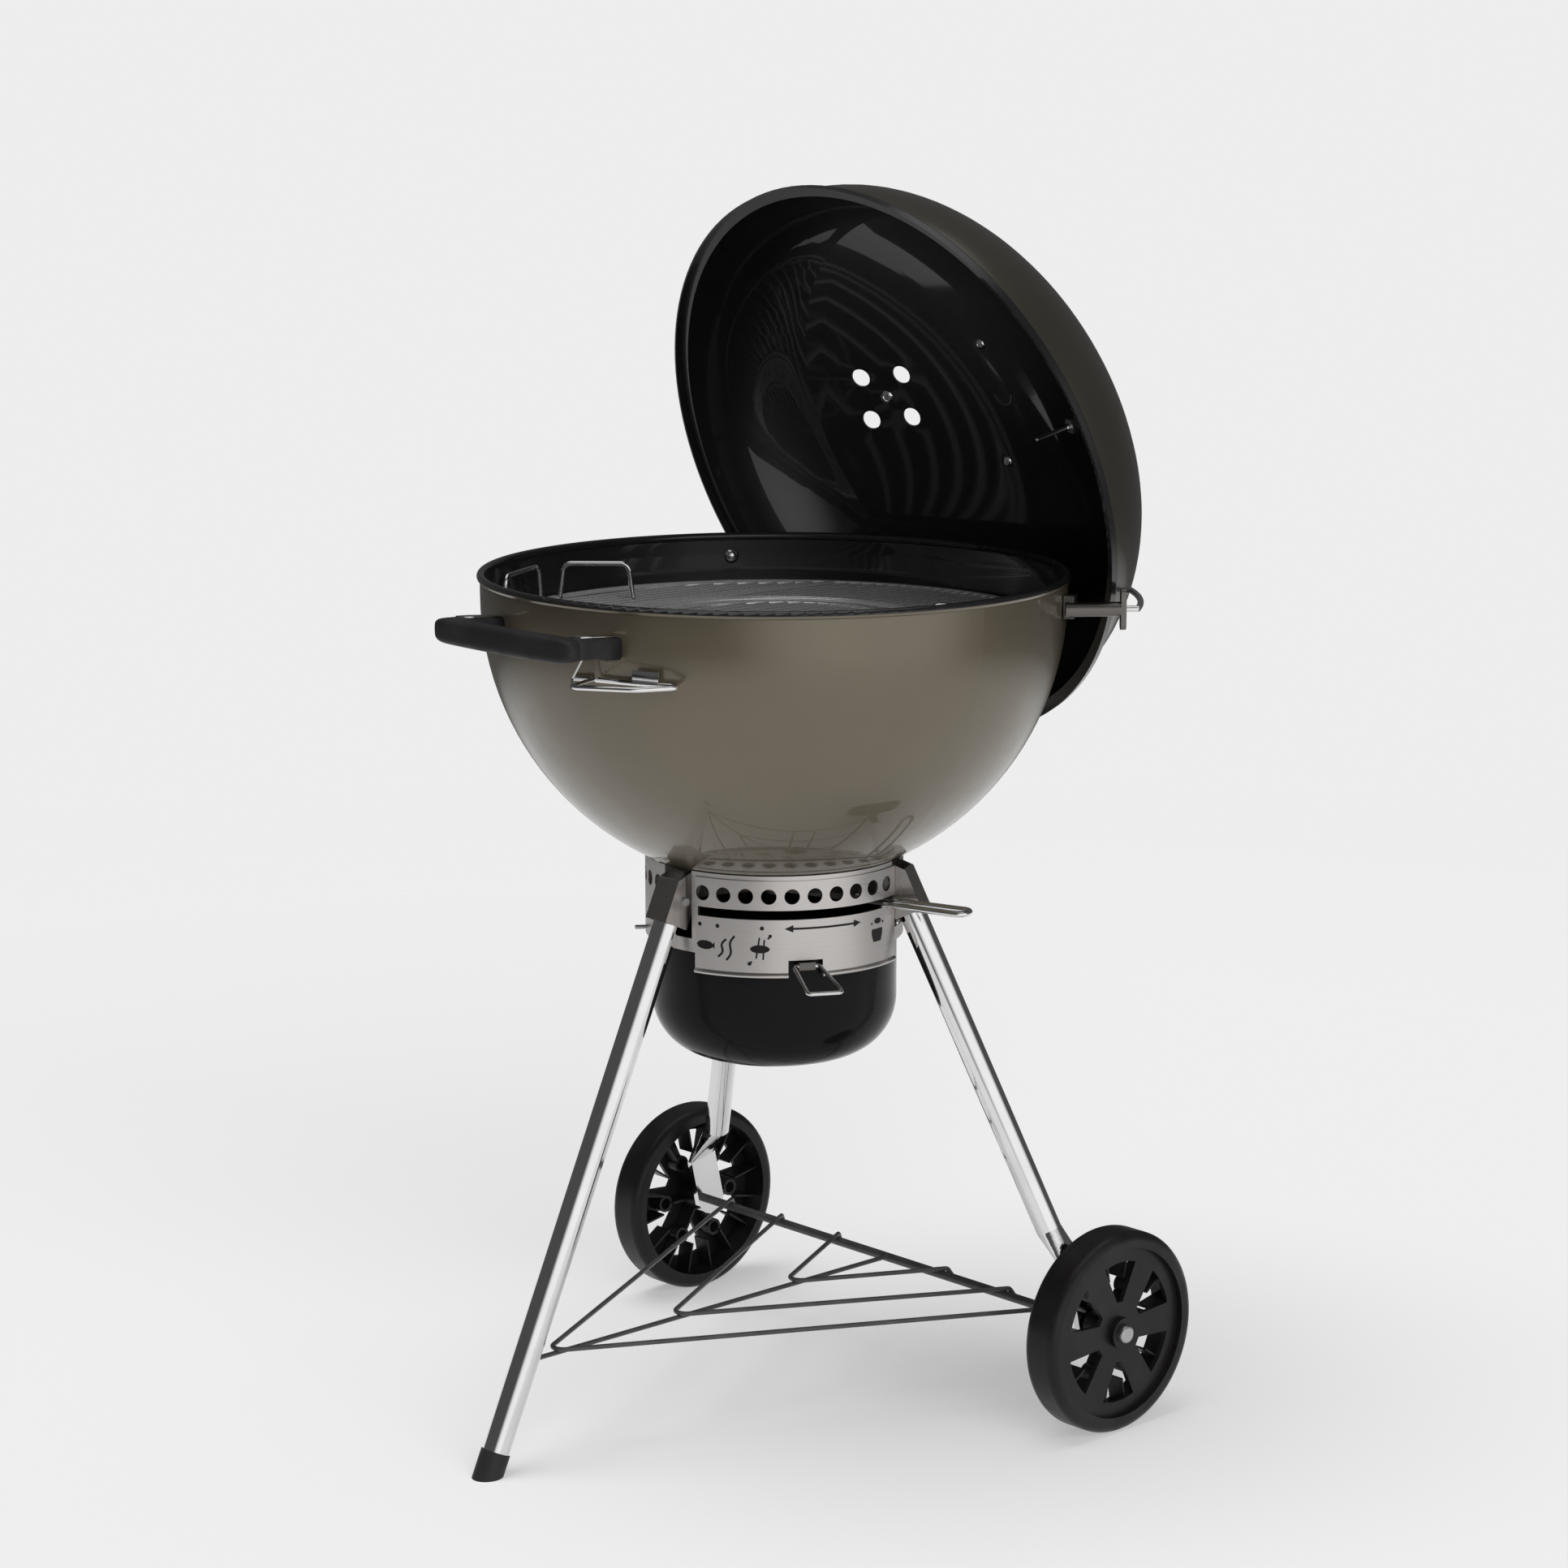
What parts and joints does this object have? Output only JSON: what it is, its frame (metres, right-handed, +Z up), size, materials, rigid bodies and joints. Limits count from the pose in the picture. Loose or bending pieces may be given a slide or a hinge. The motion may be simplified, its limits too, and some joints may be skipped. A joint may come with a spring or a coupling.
{
  "type": "kettle charcoal grill",
  "caption": "Kettle charcoal grill on a wheeled tripod, lid tucked open behind the bowl, hinged cooking grate, ash catcher with lever and a bottom wire rack.",
  "frame": {"origin": "on the floor under the bowl's axis", "axes": "+Z up, +X to the user's right, +Y from the bowl handle at the front to the lid holder at the rear"},
  "size_m": [0.66, 0.7763, 1.1907],
  "materials": {
    "bowl_enamel": "gloss enamel, smoke grey outside and black inside",
    "black_enamel": "gloss enamel",
    "stainless": "satin",
    "chrome": "polished",
    "plated_wire": "nickel plated wire",
    "dark_wire": "dark coated wire",
    "grey_steel": "satin zinc",
    "black_plastic": "fine matte",
    "wheel_plastic": "fine matte",
    "dial_white": "satin",
    "clear": "clear"
  },
  "bodies": {
    "stand": {"bowl": "bowl_enamel", "grate_brackets": "grey_steel", "bowl_handle": "black_plastic", "handle_bolts": "chrome", "tool_hook": "chrome", "lid_holder_arms": "grey_steel", "lid_holder_plates": "grey_steel", "lid_holder_hoop": "plated_wire", "lid_holder_bolts": "chrome", "ash_ring": "stainless", "control_panel": "stainless", "pot_latch_pins": "grey_steel", "leg_front": "chrome", "leg_right": "chrome", "leg_left": "chrome", "leg_socket_front": "grey_steel", "leg_socket_right": "grey_steel", "leg_socket_left": "grey_steel", "foot_cap": "black_plastic", "axle": "dark_wire", "axle_caps": "chrome", "axle_washers": "grey_steel", "rack_loop_outer": "dark_wire", "rack_loop_middle": "dark_wire", "rack_loop_inner": "dark_wire", "rack_spine": "dark_wire"},
    "lid": {"lid": "bowl_enamel", "damper_rivet": "chrome", "lid_shield": "stainless", "lid_handle": "black_plastic", "lid_handle_bolts": "chrome", "gauge_case": "stainless", "gauge_dial": "dial_white", "gauge_lens": "clear", "gauge_probe": "stainless", "gauge_nut": "stainless"},
    "damper": {"lid_damper": "stainless"},
    "pointer": {"gauge_pointer": "black_plastic"},
    "cooking_grate": {"cooking_grate": "plated_wire", "grate_handles": "plated_wire"},
    "flap_right": {"grate_flap_right": "plated_wire", "flap_handle_right": "plated_wire"},
    "flap_left": {"grate_flap_left": "plated_wire", "flap_handle_left": "plated_wire"},
    "insert": {"grate_insert": "plated_wire"},
    "charcoal_grate": {"charcoal_grate": "plated_wire"},
    "sweeper": {"sweeper_blades": "stainless", "sweeper_shaft": "stainless", "sweeper_arm": "stainless", "sweeper_lever": "chrome"},
    "ash_pot": {"ash_pot": "black_enamel", "bail_bracket": "grey_steel"},
    "bail": {"pot_bail": "chrome"},
    "wheel_right": {"wheel_right": "wheel_plastic"},
    "wheel_left": {"wheel_left": "wheel_plastic"},
    "clip_front": {"leg_clip_front": "grey_steel"},
    "clip_right": {"leg_clip_right": "grey_steel"},
    "clip_left": {"leg_clip_left": "grey_steel"}
  },
  "joints": [
    {"name": "lid_swing", "type": "hinge", "parent": "stand", "child": "lid", "pos_m": [0, 0.14156, 0.76207], "axis": [-1, 0, 0], "range_deg": [-70, 0]},
    {"name": "damper_turn", "type": "hinge", "parent": "lid", "child": "damper", "pos_m": [-0.145, 0.29224, 0.96436], "axis": [-0.3328, 0.8885, 0.316], "range_deg": [0, 45]},
    {"name": "pointer_turn", "type": "hinge", "parent": "lid", "child": "pointer", "pos_m": [0.103, 0.30936, 0.9525], "axis": [0.2364, 0.9277, 0.2888], "range_deg": [-250, 0]},
    {"name": "cooking_grate_lift", "type": "slide", "parent": "stand", "child": "cooking_grate", "axis": [0, 0, 1], "range_m": [0, 0.1]},
    {"name": "flap_right_fold", "type": "hinge", "parent": "cooking_grate", "child": "flap_right", "pos_m": [0.157, 0, 0.776], "axis": [0, -1, 0], "range_deg": [0, 85]},
    {"name": "flap_left_fold", "type": "hinge", "parent": "cooking_grate", "child": "flap_left", "pos_m": [-0.157, 0, 0.776], "axis": [0, 1, 0], "range_deg": [0, 85]},
    {"name": "insert_lift", "type": "slide", "parent": "cooking_grate", "child": "insert", "axis": [0, 0, 1], "range_m": [0, 0.035]},
    {"name": "charcoal_grate_lift", "type": "slide", "parent": "stand", "child": "charcoal_grate", "axis": [0, 0, 1], "range_m": [0, 0.05]},
    {"name": "sweeper_turn", "type": "hinge", "parent": "stand", "child": "sweeper", "pos_m": [0, 0, 0.512], "axis": [0, 0, 1], "range_deg": [-86.5, 0]},
    {"name": "ash_pot_drop", "type": "slide", "parent": "stand", "child": "ash_pot", "axis": [0, 0, -1], "range_m": [0, 0.12]},
    {"name": "bail_swing", "type": "hinge", "parent": "ash_pot", "child": "bail", "pos_m": [0.11414, -0.06327, 0.464], "axis": [0.4848, 0.8746, 0], "range_deg": [-10, 72]},
    {"name": "wheel_right_spin", "type": "hinge", "parent": "stand", "child": "wheel_right", "pos_m": [0.304, 0.1606, 0.0998], "axis": [1, 0, 0], "continuous": true},
    {"name": "wheel_left_spin", "type": "hinge", "parent": "stand", "child": "wheel_left", "pos_m": [-0.304, 0.1606, 0.0998], "axis": [1, 0, 0], "continuous": true},
    {"name": "clip_front_press", "type": "slide", "parent": "stand", "child": "clip_front", "axis": [-1, 0, 0], "range_m": [0, 0.0035], "stiffness_N_per_m": 400},
    {"name": "clip_right_press", "type": "slide", "parent": "stand", "child": "clip_right", "axis": [0.5, -0.866, 0], "range_m": [0, 0.0035], "stiffness_N_per_m": 400},
    {"name": "clip_left_press", "type": "slide", "parent": "stand", "child": "clip_left", "axis": [0.5, 0.866, 0], "range_m": [0, 0.0035], "stiffness_N_per_m": 400}
  ]
}
